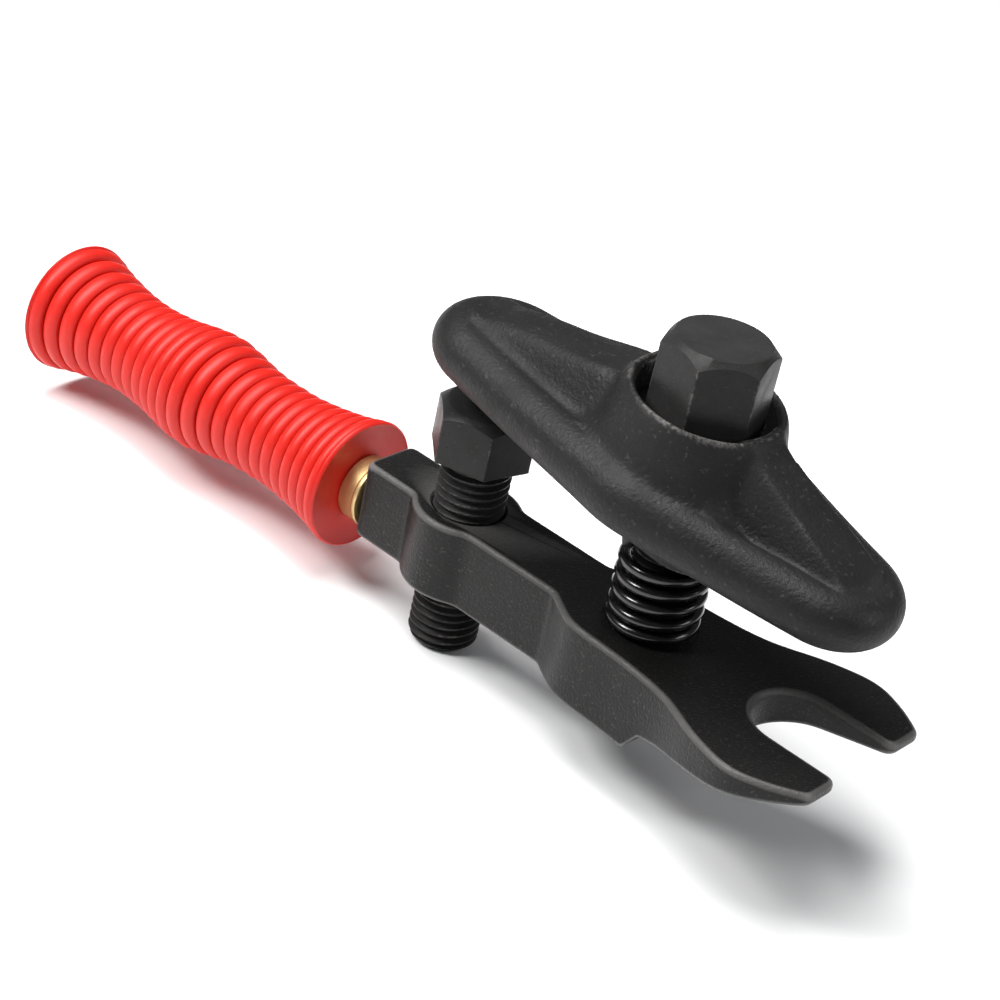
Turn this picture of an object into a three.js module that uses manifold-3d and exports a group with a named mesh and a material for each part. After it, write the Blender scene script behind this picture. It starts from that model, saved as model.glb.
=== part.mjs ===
// Ball joint separator: a forked forging that hooks under a ball joint, with a rocker lever that a
// force screw pulls down at its middle. The lever's rear end stands on an adjusting screw and its nose
// presses the joint's stud out of the fork. Millimetres, +Z up along both screws, +X towards the fork.
// Everything is drawn with the force screw's axis at x = 0 and the body's top face at z = 0, and the
// outer group then moves the origin to the flat fork face.
import * as THREE from 'three';
import { mergeVertices } from 'three/addons/utils/BufferGeometryUtils.js';
import Module from 'manifold-3d';

const wasm = await Module();
wasm.setup();

// ---- driving dimensions ----
const gap = 0.3;                  // between pieces that touch
const runningClearance = 0.3;     // radial, round a screw in its hole
const roundSides = 40;            // sides of screws, bores and bosses

// body forging
const bodyHeight = 23.5;
const tangRearX = -97.2;
const tangHalfWidth = 9.4;
const tangCorner = 2;
const rearBossRadius = 15.6;
const barHalfWidth = 11.8;
const bossFillet = 5;
const shoulderStartX = -24;
const centreHalfWidth = 20.4;
const waistX = 8;
const forkHalfWidth = 32.6;
const forkWidestX = 51;
const forkTipX = 71;
const forkGap = 24;
const throatRootX = 37.3;
const tipHalfWidth = 11.6;        // each prong's blunt end, measured from the gap outwards
const tipThickness = 3.4;
const lipX = 13.5;                // step on the underside, where the fork's wedge starts
const lipRun = 4.5;
const wedgeRootThickness = 17;
const wedgeThroatThickness = 11.2; // at the throat's root
const bodyEdge = 1.4;             // rounded forging edge
const forkFaceX = 26;             // origin of the part, on the flat top face

// force screw, its washer and the spring
const forceRadius = 9;
const forceLowerEndZ = -22.6;
const forceHeadFlats = 27;
const forceHeadTopZ = 84.8;
const forceHeadBottomZ = 60.6;
const forceHeadTurn = 46.3;       // degrees, one corner from +X
const headChamfer = 2.9;
const screwEndChamfer = 1.8;
const springClearance = 0.45;     // from the screw to the spring's inside
const springWire = 3.3;
const springTurns = 6;
const springHeight = 25;
const springSeatDepth = 0.3;      // the spring stands in a shallow seat in the body

// rocker lever, in a frame at its ball centre
const pivotZ = 72;
const leverTilt = 5.77;           // degrees, nose down
const leverRearX = -62;
const leverFrontX = 50.5;
const leverRearRadius = 20;
const leverFrontRadius = 19.2;
const leverMiddleRadius = 31.4;
const rimThickness = 15.4;
const rimMiddleDepth = 29.2;      // from the ball centre down to the middle of the rim
const ringRadius = 21.6;
const ringDepth = 3.6;
const ringBaseRadius = 27;
const ribHalfWidth = 8;
const ribRearDrop = 17.4;
const ribFrontDrop = 16.2;
const seatRadius = 22;            // ball radius of the washer's underside
const cupClearance = 2.8;         // from the head's corners to the cup's wall
const washerRadius = 15.7;
const hubWall = 2.6;              // round the slot that the force screw passes through
const slotClearance = 0.7;
const slotEndSpare = 1.2;
const keelHalfWidth = 6;
const keelStep = 3;               // the keel stays this far above the rear pad's crown
const padRadius = 8;
const padCrownRadius = 14;
const nosePadDepth = 2.4;

// adjusting screw
const adjustX = -66;
const adjustRadius = 10;
const adjustHeadFlats = 25.8;
const adjustHeadBottomZ = 16.2;
const adjustHeadTopZ = 32.2;
const adjustHeadTurn = 16.8;      // degrees, one corner from +X
const adjustLowerEndZ = -43.4;
const adjustHeadChamfer = 2.3;

// handle, in a frame on its own axis that starts at the tang's end face
const handleZ = -14.6;
const handleDrop = 1.65;          // degrees, the grip's rear end hangs lower
const rodRadius = 6;
const rodInTang = 15;
const ferruleRadius = 10.1;
const ferruleLength = 7.4;
const ferruleSpigotRadius = 8;
const ferruleSpigotLength = 14;
const gripLength = 126.5;
const gripFrontRadius = 19.6;
const gripWaistRadius = 15;
const gripBulgeRadius = 18.4;
const gripRearRadius = 21;
const gripBulgeAt = 63;           // from the grip's front face
const frontWaistAt = 31;
const rearWaistAt = 89;
const recessRadius = 12.5;
const recessDepth = 13;
const nutFlats = 18;
const nutHeight = 8;
const endWasherRadius = 11.5;
const endWasherThickness = 2;

// ---- sizes that follow ----
const tilt = THREE.MathUtils.degToRad(leverTilt);
const coilBoundHeight = springTurns * springWire;
const springReserve = 1.2;        // left between the coils when the screw is at its stop
const stroke = springHeight - coilBoundHeight - springReserve;
const rock = stroke / -adjustX;   // radians that the lever rocks in one stroke
const springRadius = forceRadius + springClearance + springWire;
const slotRadius = forceRadius + slotClearance;
const hubRadius = slotRadius + hubWall;
const cupRadius = forceHeadFlats / Math.sqrt(3) + cupClearance;
// the tilted hub rests on the spring's top where the slot's sides cross the outermost coil
const hubContactX = Math.sqrt(springRadius ** 2 - slotRadius ** 2);
const hubDepth = Math.cos(tilt) * (pivotZ - hubContactX * Math.tan(tilt) - springHeight - gap);
const slotReach = (hubDepth + 1) * Math.tan(tilt + rock) + slotEndSpare;

// ---- solids ----
function solid(geometry) {
  const bare = geometry.clone();
  bare.deleteAttribute('normal');
  bare.deleteAttribute('uv');
  const merged = mergeVertices(bare, 1e-4);
  const points = merged.getAttribute('position').array;
  const corners = [];
  for (let i = 0; i < merged.index.count; i += 3) {
    const [a, b, c] = [0, 1, 2].map((k) => merged.index.getX(i + k));
    if (a !== b && b !== c && c !== a) corners.push(a, b, c);
  }
  let volume = 0;
  const at = (i) => new THREE.Vector3().fromArray(points, 3 * i);
  for (let i = 0; i < corners.length; i += 3) {
    volume += at(corners[i]).dot(at(corners[i + 1]).cross(at(corners[i + 2])));
  }
  if (volume < 0) corners.reverse();
  return new wasm.Manifold(new wasm.Mesh({
    numProp: 3,
    vertProperties: new Float32Array(points),
    triVerts: new Uint32Array(corners),
  }));
}

function surface(manifold) {
  const mesh = manifold.getMesh();
  const geometry = new THREE.BufferGeometry();
  geometry.setAttribute('position', new THREE.BufferAttribute(mesh.vertProperties, 3));
  geometry.setIndex(new THREE.BufferAttribute(mesh.triVerts, 1));
  geometry.computeVertexNormals();
  return geometry;
}

// a turned solid about Z from [radius, z] pairs
function turned(profile, sides = roundSides) {
  const points = profile.map(([r, z]) => new THREE.Vector2(r, z));
  return solid(new THREE.LatheGeometry(points, sides).rotateX(Math.PI / 2));
}

function cylinder(radius, lowZ, highZ, x = 0, sides = roundSides) {
  const geometry = new THREE.CylinderGeometry(radius, radius, highZ - lowZ, sides).rotateX(Math.PI / 2);
  return solid(geometry.translate(x, 0, (lowZ + highZ) / 2));
}

// a plan outline (x, y) raised along Z
function raised(shape, lowZ, highZ, curveSegments = 12) {
  const geometry = new THREE.ExtrudeGeometry(shape, { depth: highZ - lowZ, bevelEnabled: false, curveSegments });
  return solid(geometry.translate(0, 0, lowZ));
}

// a side outline (x, z) spread to both sides of y = 0
function spread(points, halfWidth) {
  const shape = new THREE.Shape(points.map(([x, z]) => new THREE.Vector2(x, z)));
  const geometry = new THREE.ExtrudeGeometry(shape, { depth: 2 * halfWidth, bevelEnabled: false });
  return solid(geometry.rotateX(Math.PI / 2).translate(0, halfWidth, 0));
}

function hexHead(flats, lowZ, highZ, chamfer, turnDegrees) {
  const cornerRadius = flats / Math.sqrt(3);
  const prism = new THREE.CylinderGeometry(cornerRadius, cornerRadius, highZ - lowZ, 6).rotateX(Math.PI / 2);
  prism.rotateZ(THREE.MathUtils.degToRad(turnDegrees) - Math.PI / 2);
  prism.translate(0, 0, (lowZ + highZ) / 2);
  const topRadius = cornerRadius - chamfer * 1.2;
  const cone = turned([[0, lowZ - 1], [cornerRadius + 1, lowZ - 1], [cornerRadius + 1, highZ - chamfer],
    [cornerRadius, highZ - chamfer], [topRadius, highZ], [0, highZ]], 48);
  return solid(prism).intersect(cone);
}

// ---- body ----
function bodyOutline() {
  const upper = [];   // points of the half with y > 0, from tang to fork tip
  const arc = (cx, cy, r, from, to, steps) => {
    for (let i = 0; i <= steps; i += 1) {
      const a = THREE.MathUtils.degToRad(from + (to - from) * i / steps);
      upper.push(new THREE.Vector2(cx + r * Math.cos(a), cy + r * Math.sin(a)));
    }
  };
  arc(tangRearX + tangCorner, tangHalfWidth - tangCorner, tangCorner, 180, 90, 3);
  const bossMeetsTang = 180 - THREE.MathUtils.radToDeg(Math.asin(tangHalfWidth / rearBossRadius));
  // the boss runs out into the bar through a fillet that touches both
  const filletY = barHalfWidth + bossFillet;
  const filletAngle = THREE.MathUtils.radToDeg(Math.asin(filletY / (rearBossRadius + bossFillet)));
  const filletX = adjustX + (rearBossRadius + bossFillet) * Math.cos(THREE.MathUtils.degToRad(filletAngle));
  arc(adjustX, 0, rearBossRadius, bossMeetsTang, filletAngle, 9);
  arc(filletX, filletY, bossFillet, filletAngle + 180, 270, 4);
  const flank = new THREE.SplineCurve([
    [shoulderStartX, barHalfWidth], [shoulderStartX + 5.5, barHalfWidth + 3.6],
    [shoulderStartX + 13.5, centreHalfWidth - 1.4], [waistX, centreHalfWidth],
    [waistX + 15, centreHalfWidth + 2.6], [forkWidestX - 13, forkHalfWidth - 3.1],
    [forkWidestX, forkHalfWidth], [forkWidestX + 10, forkHalfWidth - 3.4],
    [forkTipX - 1, forkGap / 2 + tipHalfWidth + 0.8], [forkTipX, forkGap / 2 + tipHalfWidth - 1.2],
  ].map(([x, y]) => new THREE.Vector2(x, y)));
  upper.push(...flank.getPoints(30));
  upper.push(new THREE.Vector2(forkTipX, forkGap / 2 + 1.5), new THREE.Vector2(forkTipX - 1.5, forkGap / 2));
  arc(throatRootX + forkGap / 2, 0, forkGap / 2, 90, 180, 9);
  const lower = upper.slice(0, -1).reverse().map((p) => new THREE.Vector2(p.x, -p.y));
  // arcs that meet share a point, which is kept once
  const loop = [...upper, ...lower];
  return new THREE.Shape(loop.filter((p, i) => p.distanceTo(loop[(i + 1) % loop.length]) > 0.02));
}

function makeBody() {
  const plan = new THREE.ExtrudeGeometry(bodyOutline(), {
    depth: bodyHeight + 10, bevelEnabled: true, bevelThickness: bodyEdge, bevelSize: bodyEdge,
    bevelOffset: -bodyEdge, bevelSegments: 2,
  });
  plan.translate(0, 0, -bodyHeight - 10 - bodyEdge);
  const side = spread([
    [tangRearX - 5, 1], [tangRearX - 5, 2 - bodyHeight], [tangRearX + 4, -bodyHeight], [lipX, -bodyHeight],
    [lipX + lipRun, -wedgeRootThickness], [throatRootX, -wedgeThroatThickness], [forkTipX, -tipThickness],
    [forkTipX + 5, -tipThickness], [forkTipX + 5, 1],
  ], forkHalfWidth + 5);
  const rodHole = handleSolid(turned([[0, -1], [rodRadius + runningClearance, -1],
    [rodRadius + runningClearance, rodInTang + 1], [0, rodInTang + 3]]).rotate([0, 180, 0]));
  return solid(plan)
    .intersect(side)
    .subtract(cylinder(forceRadius + runningClearance, -bodyHeight - 5, 5))
    .subtract(cylinder(springRadius + gap, -springSeatDepth, 5))
    .subtract(cylinder(adjustRadius + runningClearance, -bodyHeight - 5, 5, adjustX))
    .subtract(rodHole);
}

// ---- force screw, washer, spring ----
function makeForceScrew() {
  const shank = turned([[0, forceLowerEndZ], [forceRadius - screwEndChamfer, forceLowerEndZ],
    [forceRadius, forceLowerEndZ + screwEndChamfer], [forceRadius, forceHeadBottomZ + 1],
    [0, forceHeadBottomZ + 1]]);
  return shank.add(hexHead(forceHeadFlats, forceHeadBottomZ, forceHeadTopZ, headChamfer, forceHeadTurn));
}

// the washer's underside is part of a ball about the lever's rocking centre
function ballProfile(radius, fromR, toR, steps) {
  const points = [];
  for (let i = 0; i <= steps; i += 1) {
    const r = fromR + (toR - fromR) * i / steps;
    points.push([r, pivotZ - Math.sqrt(radius * radius - r * r)]);
  }
  return points;
}

function makeThrustWasher() {
  const bore = forceRadius + runningClearance;
  const topZ = forceHeadBottomZ - gap;
  const ring = [...ballProfile(seatRadius, bore, washerRadius, 5), [washerRadius, topZ], [bore, topZ]];
  return turned([...ring, ring[0]]);
}

class SpringPath extends THREE.Curve {
  getPoint(t) {
    const turn = t * springTurns;
    const closedTurn = springWire;
    const openTurn = (springHeight - springWire - 2 * closedTurn + springWire / 2) / (springTurns - 2);
    const open = THREE.MathUtils.clamp(turn - 1, 0, springTurns - 2);
    const closed = turn - open;
    const radius = springRadius - springWire / 2;
    const angle = 2 * Math.PI * turn;
    return new THREE.Vector3(radius * Math.cos(angle), radius * Math.sin(angle),
      springWire / 4 + closed * closedTurn + open * openTurn);
  }
}

function makeSpring() {
  const wire = new THREE.Shape();
  wire.absarc(0, 0, springWire / 2, 0, 2 * Math.PI);
  const coil = new THREE.ExtrudeGeometry(wire, {
    steps: springTurns * 20, extrudePath: new SpringPath(), bevelEnabled: false, curveSegments: 4,
  });
  return solid(coil).intersect(cylinder(springRadius + 5, gap - springSeatDepth, springHeight, 0, 12));
}

// ---- rocker lever ----
function leverOutline(inset) {
  // hull of three circles: rear end, middle and nose
  const circles = [
    [leverRearX, leverRearRadius - inset],
    [0, leverMiddleRadius - inset],
    [leverFrontX, leverFrontRadius - inset],
  ];
  const tangentAngle = (a, b) => Math.acos((a[1] - b[1]) / (b[0] - a[0]));
  const rear = tangentAngle(circles[0], circles[1]);
  const front = tangentAngle(circles[1], circles[2]);
  const points = [];
  const arc = ([cx, r], from, to, steps) => {
    for (let i = 0; i <= steps; i += 1) {
      const a = from + (to - from) * i / steps;
      points.push(new THREE.Vector2(cx + r * Math.cos(a), r * Math.sin(a)));
    }
  };
  arc(circles[0], 2 * Math.PI - rear, rear, 12);
  arc(circles[1], rear, front, 3);
  arc(circles[2], front, -front, 12);
  arc(circles[1], -front, -rear, 3);
  return new THREE.Shape(points);
}

function makeLever() {
  const rimTop = rimThickness / 2 - rimMiddleDepth;
  const rimBottom = -rimThickness / 2 - rimMiddleDepth;
  const edge = rimThickness * 0.4;
  const rim = new THREE.ExtrudeGeometry(leverOutline(edge), {
    depth: rimThickness - 2 * edge, bevelEnabled: true, bevelThickness: edge, bevelSize: edge, bevelSegments: 3,
  });
  rim.translate(0, 0, rimBottom + edge);
  const boss = turned([[0, rimBottom + 2], [ringBaseRadius, rimBottom + 2], [ringBaseRadius, rimTop],
    [ringRadius + 0.6, -ringDepth - 5], [ringRadius, -ringDepth - 1.6], [ringRadius - 1.6, -ringDepth],
    [0, -ringDepth]]);
  const rib = spread([[leverRearX - 3, rimTop - 4], [leverRearX - 3, -ringDepth - ribRearDrop + 1.4],
    [-ringRadius + 2, -ringDepth - 4], [ringRadius - 2, -ringDepth - 1], [leverFrontX + 3, -ringDepth - ribFrontDrop],
    [leverFrontX + 5, rimTop - 4]], ribHalfWidth);
  // underside: a hub that the spring pushes on, keel ribs, a rear pad and a nose pad
  const hub = new THREE.Shape();
  hub.absarc(slotReach, 0, hubRadius, -Math.PI / 2, Math.PI / 2);
  hub.absarc(0, 0, hubRadius, Math.PI / 2, 1.5 * Math.PI);
  const padBall = leverLocal(adjustX, adjustHeadTopZ + gap + padCrownRadius);
  const rearPad = turned([...crownProfile(padBall.z), [padRadius, rimBottom + 2], [0, rimBottom + 2]], 24)
    .translate([padBall.x, 0, 0]);
  const keelRearZ = padBall.z - padCrownRadius + keelStep;
  const noseZ = rimBottom - nosePadDepth;
  const keel = spread([[padBall.x - padRadius, rimBottom + 3], [padBall.x - padRadius, keelRearZ],
    [padBall.x + padRadius, keelRearZ], [-hubRadius, 1 - hubDepth], [slotReach + hubRadius, 1 - hubDepth],
    [leverFrontX - padRadius, noseZ], [leverFrontX + padRadius, noseZ], [leverFrontX + padRadius, rimBottom + 3]],
  keelHalfWidth);
  const seat = turned([...seatProfile(), [cupRadius, 5], [0, 5]]);
  const slot = new THREE.Shape();
  slot.absarc(slotReach, 0, slotRadius, -Math.PI / 2, Math.PI / 2);
  slot.absarc(0, 0, slotRadius, Math.PI / 2, 1.5 * Math.PI);
  return solid(rim)
    .add(boss)
    .add(rib)
    .add(raised(hub, -hubDepth, rimBottom + 2))
    .add(keel)
    .add(rearPad)
    .add(cylinder(padRadius + 1.5, noseZ, rimBottom + 2, leverFrontX, 24))
    .subtract(seat)
    .subtract(raised(slot, -hubDepth - 5, -seatRadius + 6, 8));
}

// the lever's seat: the ball of the washer plus the gap, up to the cup's straight wall
function seatProfile() {
  const radius = seatRadius + gap;
  const points = [];
  const steps = 8;
  for (let i = 0; i <= steps; i += 1) {
    const r = cupRadius * i / steps;
    points.push([r, -Math.sqrt(radius * radius - r * r)]);
  }
  return points;
}

// the rear pad's ball-shaped end, which keeps its height on the screw head while the lever rocks
function crownProfile(ballZ) {
  const points = [];
  const steps = 4;
  for (let i = 0; i <= steps; i += 1) {
    const r = padRadius * i / steps;
    points.push([r, ballZ - Math.sqrt(padCrownRadius * padCrownRadius - r * r)]);
  }
  return points;
}

// a point of the side view (x, z) in the lever's own tilted frame
function leverLocal(x, z) {
  const up = z - pivotZ;
  return { x: x * Math.cos(tilt) - up * Math.sin(tilt), z: x * Math.sin(tilt) + up * Math.cos(tilt) };
}

// ---- adjusting screw ----
function makeAdjustingScrew() {
  const shank = turned([[0, adjustLowerEndZ], [adjustRadius - screwEndChamfer, adjustLowerEndZ],
    [adjustRadius, adjustLowerEndZ + screwEndChamfer], [adjustRadius, adjustHeadBottomZ + 1],
    [0, adjustHeadBottomZ + 1]]);
  return shank.add(hexHead(adjustHeadFlats, adjustHeadBottomZ, adjustHeadTopZ, adjustHeadChamfer, adjustHeadTurn));
}

// ---- handle: drawn along +Z from the tang's end face, then laid back along -X ----
function handleSolid(manifold) {
  return manifold.rotate([0, -90 - handleDrop, 0]).translate([tangRearX, 0, handleZ]);
}

function makeHandleRod() {
  const tip = gripLength + ferruleLength + gap - 3;
  return turned([[0, -rodInTang], [rodRadius - 1, -rodInTang], [rodRadius, 1 - rodInTang], [rodRadius, tip - 1],
    [rodRadius - 1, tip], [0, tip]]);
}

function makeFerrule() {
  const bore = rodRadius + runningClearance;
  const start = 2 * gap;
  const end = ferruleLength;
  return turned([[bore, start], [ferruleRadius - 1, start], [ferruleRadius, start + 1], [ferruleRadius, end],
    [ferruleSpigotRadius, end], [ferruleSpigotRadius, end + ferruleSpigotLength],
    [bore, end + ferruleSpigotLength], [bore, start]]);
}

function gripRadiusAt(s) {
  const blend = (a, b, from, to) => {
    const t = THREE.MathUtils.clamp((s - from) / (to - from), 0, 1);
    return a + (b - a) * (1 - Math.cos(Math.PI * t)) / 2;
  };
  if (s < frontWaistAt) return gripWaistRadius + (gripFrontRadius - gripWaistRadius) * (1 - s / frontWaistAt) ** 2;
  if (s < gripBulgeAt) return blend(gripWaistRadius, gripBulgeRadius, frontWaistAt + 6, gripBulgeAt);
  if (s < rearWaistAt) return blend(gripBulgeRadius, gripWaistRadius, gripBulgeAt, rearWaistAt);
  return gripWaistRadius + (gripRearRadius - gripWaistRadius) * ((s - rearWaistAt) / (gripLength - rearWaistAt)) ** 2;
}

function makeGrip() {
  const front = ferruleLength + gap;
  const bore = rodRadius + runningClearance;
  const spigotBore = ferruleSpigotRadius + runningClearance;
  const stations = 22;
  const outside = [];
  for (let i = 0; i <= stations; i += 1) {
    const s = gripLength * i / stations;
    outside.push([gripRadiusAt(s), front + s]);
  }
  const spigotEnd = front + ferruleSpigotLength + gap;
  const recessStart = front + gripLength - recessDepth;
  const profile = [[spigotBore, front], ...outside, [recessRadius, front + gripLength],
    [recessRadius, recessStart], [bore, recessStart], [bore, spigotEnd], [spigotBore, spigotEnd],
    [spigotBore, front]];
  return turned(profile, 36);
}

function makeEndWasher() {
  const start = ferruleLength + gap + gripLength - recessDepth + gap;
  const bore = rodRadius + runningClearance;
  return turned([[bore, start], [endWasherRadius, start], [endWasherRadius, start + endWasherThickness],
    [bore, start + endWasherThickness], [bore, start]]);
}

function makeEndNut() {
  const start = ferruleLength + gap + gripLength - recessDepth + 2 * gap + endWasherThickness;
  const bore = rodRadius + runningClearance;
  return hexHead(nutFlats, start, start + nutHeight, 1.2, 0)
    .subtract(cylinder(bore, start - 2, start + nutHeight + 2));
}

// ---- scene graph ----
const finish = (color, roughness, metalness) => new THREE.MeshStandardMaterial({ color, roughness, metalness });
const forging = finish(0x1c1c1d, 0.45, 0.5);
const leverForging = finish(0x3a3a39, 0.6, 0.6);
const blackSteel = finish(0x2a2928, 0.5, 0.7);
const springBlack = finish(0x0d0d0e, 0.2, 0.6);
const yellowZinc = finish(0xc8a450, 0.3, 0.9);
const zincPlate = finish(0xb4b4b0, 0.35, 0.9);
const redPlastic = finish(0xe8321f, 0.4, 0);

function piece(name, manifold, material) {
  const mesh = new THREE.Mesh(surface(manifold), material);
  mesh.name = name;
  return mesh;
}

const lever = new THREE.Group();
lever.position.z = pivotZ;
lever.rotation.y = tilt;
lever.add(piece('rocker_lever', makeLever(), leverForging));

const adjuster = new THREE.Group();
adjuster.position.x = adjustX;
adjuster.add(piece('adjusting_screw', makeAdjustingScrew(), blackSteel));

const handle = new THREE.Group();
handle.position.set(tangRearX, 0, handleZ);
handle.rotation.y = THREE.MathUtils.degToRad(-90 - handleDrop);
handle.add(
  piece('handle_rod', makeHandleRod(), zincPlate),
  piece('ferrule', makeFerrule(), yellowZinc),
  piece('grip', makeGrip(), redPlastic),
  piece('end_washer', makeEndWasher(), zincPlate),
  piece('end_nut', makeEndNut(), zincPlate),
);

const separator = new THREE.Group();
separator.position.x = -forkFaceX;
separator.add(
  piece('body', makeBody(), forging),
  piece('force_screw', makeForceScrew(), blackSteel),
  piece('thrust_washer', makeThrustWasher(), blackSteel),
  piece('return_spring', makeSpring(), springBlack),
  lever,
  adjuster,
  handle,
);

export default separator;
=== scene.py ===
"""Ball joint separator: the detailed pieces, their finishes, the light and the camera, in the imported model's frame.

Shapes are drawn in millimetres with the force screw's axis at x = 0 and the body's flat top at z = 0,
the same way as the CAD part, and to_frame() sets them into the part's own frame in metres.
"""

import math

import bmesh
import bpy
import numpy as np
from mathutils import Matrix, Vector
from mathutils.geometry import delaunay_2d_cdt


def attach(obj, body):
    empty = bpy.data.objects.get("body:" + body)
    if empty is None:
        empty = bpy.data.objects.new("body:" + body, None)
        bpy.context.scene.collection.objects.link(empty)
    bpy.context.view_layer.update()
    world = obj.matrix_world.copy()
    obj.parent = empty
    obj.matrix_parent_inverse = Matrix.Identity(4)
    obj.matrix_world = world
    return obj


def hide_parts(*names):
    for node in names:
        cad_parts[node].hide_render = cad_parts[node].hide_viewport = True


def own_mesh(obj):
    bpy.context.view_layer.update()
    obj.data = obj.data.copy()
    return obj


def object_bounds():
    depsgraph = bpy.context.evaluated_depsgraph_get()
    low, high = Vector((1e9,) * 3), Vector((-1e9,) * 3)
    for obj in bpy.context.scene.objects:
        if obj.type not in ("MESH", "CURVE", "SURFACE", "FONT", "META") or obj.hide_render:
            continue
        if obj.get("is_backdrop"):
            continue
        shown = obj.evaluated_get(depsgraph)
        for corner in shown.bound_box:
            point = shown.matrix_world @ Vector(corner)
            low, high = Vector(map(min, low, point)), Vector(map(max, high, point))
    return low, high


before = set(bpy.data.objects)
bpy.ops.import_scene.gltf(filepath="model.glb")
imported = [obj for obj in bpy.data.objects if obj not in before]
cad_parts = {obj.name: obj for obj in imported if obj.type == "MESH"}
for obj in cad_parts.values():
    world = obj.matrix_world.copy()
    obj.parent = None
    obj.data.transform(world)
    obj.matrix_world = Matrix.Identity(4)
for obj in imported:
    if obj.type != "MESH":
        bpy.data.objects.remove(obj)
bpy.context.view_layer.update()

# ---- sizes, in millimetres ----
ORIGIN_X = 26.0  # the part's origin, on the fork's face
GAP = 0.3  # the play left between pieces

BODY_HEIGHT = 23.5
BODY_TOP_EDGE = 1.5
BODY_LOW_EDGE = 1.3
TANG_REAR_X = -97.2
TANG_HALF_WIDTH = 9.4
BOSS_RADIUS = 15.6
BAR_HALF_WIDTH = 11.8
BOSS_FILLET = 5.0
THROAT_ROOT_X = 37.3
FORK_GAP = 24.0
FORK_TIP_X = 71.0
TIP_THICKNESS = 3.4
LIP_X = 13.5
LIP_RUN = 4.5
WEDGE_ROOT = 17.0
WEDGE_THROAT = 11.2  # under the throat's root

FORCE_RADIUS = 9.0
FORCE_LOW_Z = -22.6
FORCE_FLATS = 27.0
FORCE_HEAD_LOW_Z = 60.6
FORCE_HEAD_TOP_Z = 84.8
FORCE_HEAD_TURN = 46.3
SPRING_WIRE = 3.3
SPRING_HEIGHT = 25.0
SPRING_RADIUS = 12.75
SPRING_SEAT_DEPTH = 0.3
SCREW_PITCH = 2.5
FORCE_NECK_RADIUS = 8.6
SPRING_PITCH = 4.6
SPRING_END_TURN = math.radians(228)

PIVOT_Z = 72.0
LEVER_TILT = math.radians(5.77)
LEVER_REAR = (-62.0, 20.0)
LEVER_MIDDLE = (0.0, 31.4)
LEVER_FRONT = (50.5, 19.2)
RIM_ROUND = 7.7
RIM_MIDDLE = -29.2
CUP_RADIUS = 18.39
SEAT_RADIUS = 22.3
SLOT_RADIUS = 9.7
SLOT_REACH = 8.79
HUB_RADIUS = 12.3
HUB_DEPTH = 45.63
PAD_BALL_RADIUS = 14.0  # the rear pad's crown
WASHER_BALL_RADIUS = 22.0
WASHER_RADIUS = 15.7

ADJUST_X = -66.0
ADJUST_RADIUS = 10.0
ADJUST_LOW_Z = -43.4
ADJUST_FLATS = 25.8
ADJUST_HEAD_LOW_Z = 16.2
ADJUST_HEAD_TOP_Z = 32.2
ADJUST_HEAD_TURN = 16.8
ADJUST_NECK_RADIUS = 8.7

HANDLE_Z = -14.6
HANDLE_TURN = math.radians(-91.65)
ROD_RADIUS = 6.0
ROD_PITCH = 1.75
FERRULE_LENGTH = 7.4
FERRULE_RADIUS = 10.1
GRIP_LENGTH = 126.5
GRIP_RECESS_RADIUS = 12.5
GRIP_RECESS_DEPTH = 13.0
# where the grip's beads have their crests, from its front end, and the grip's size over them
BEAD_CRESTS = (3.1, 7.1, 11.5, 15.9, 20.4, 25.1, 29.9, 34.8, 40.1, 45.3, 51.0, 56.7, 62.5, 67.5, 71.8, 76.3,
               80.9, 85.6, 90.9, 95.9, 101.1, 106.6, 112.6, 118.6, 124.1)
GRIP_SIZE = ((0, 19.6), (3.1, 19.2), (6.1, 18.3), (12.1, 17.1), (18.1, 16.1), (24.1, 15.4), (30.1, 15.05),
             (36.1, 15.1), (42.1, 15.3), (48.1, 15.8), (54.1, 17), (60.1, 18.1), (64.1, 18.4), (69.1, 18),
             (75.1, 16.9), (81.1, 15.9), (87.1, 15.3), (93.1, 15), (99.1, 15.2), (105.1, 15.9),
             (111.1, 16.9), (117.1, 18.1), (122.1, 19.5), (GRIP_LENGTH, 20.9))
BEAD_HEIGHT = 0.118  # as a share of the grip's size there


# ---- from drawing to mesh ----
def to_frame(points, origin=(0.0, 0.0, 0.0), turn=0.0):
    """Points of a piece's own drawing, turned about Y and set at origin, as metres in the part's frame."""
    p = np.asarray(points, float).reshape(-1, 3)
    c, s = math.cos(turn), math.sin(turn)
    x = p[:, 0] * c + p[:, 2] * s + origin[0] - ORIGIN_X
    z = p[:, 2] * c - p[:, 0] * s + origin[2]
    return np.column_stack((x, p[:, 1] + origin[1], z)) * 0.001


def link(name, mesh):
    obj = bpy.data.objects.new(name, mesh)
    bpy.context.collection.objects.link(obj)
    return obj


def close_up(bm, join):
    """Merges doubles and turns the faces outwards."""
    bmesh.ops.remove_doubles(bm, verts=bm.verts, dist=join)
    bmesh.ops.dissolve_degenerate(bm, edges=bm.edges, dist=join * 0.5)
    bmesh.ops.recalc_face_normals(bm, faces=bm.faces)


def solid(name, points, faces, join=1e-6):
    """A closed solid from points in metres: doubles merged and faces turned outwards."""
    mesh = bpy.data.meshes.new(name)
    mesh.from_pydata([tuple(p) for p in points], [], [list(f) for f in faces])
    bm = bmesh.new()
    bm.from_mesh(mesh)
    close_up(bm, join)
    bm.to_mesh(mesh)
    bm.free()
    return link(name, mesh)


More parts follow.
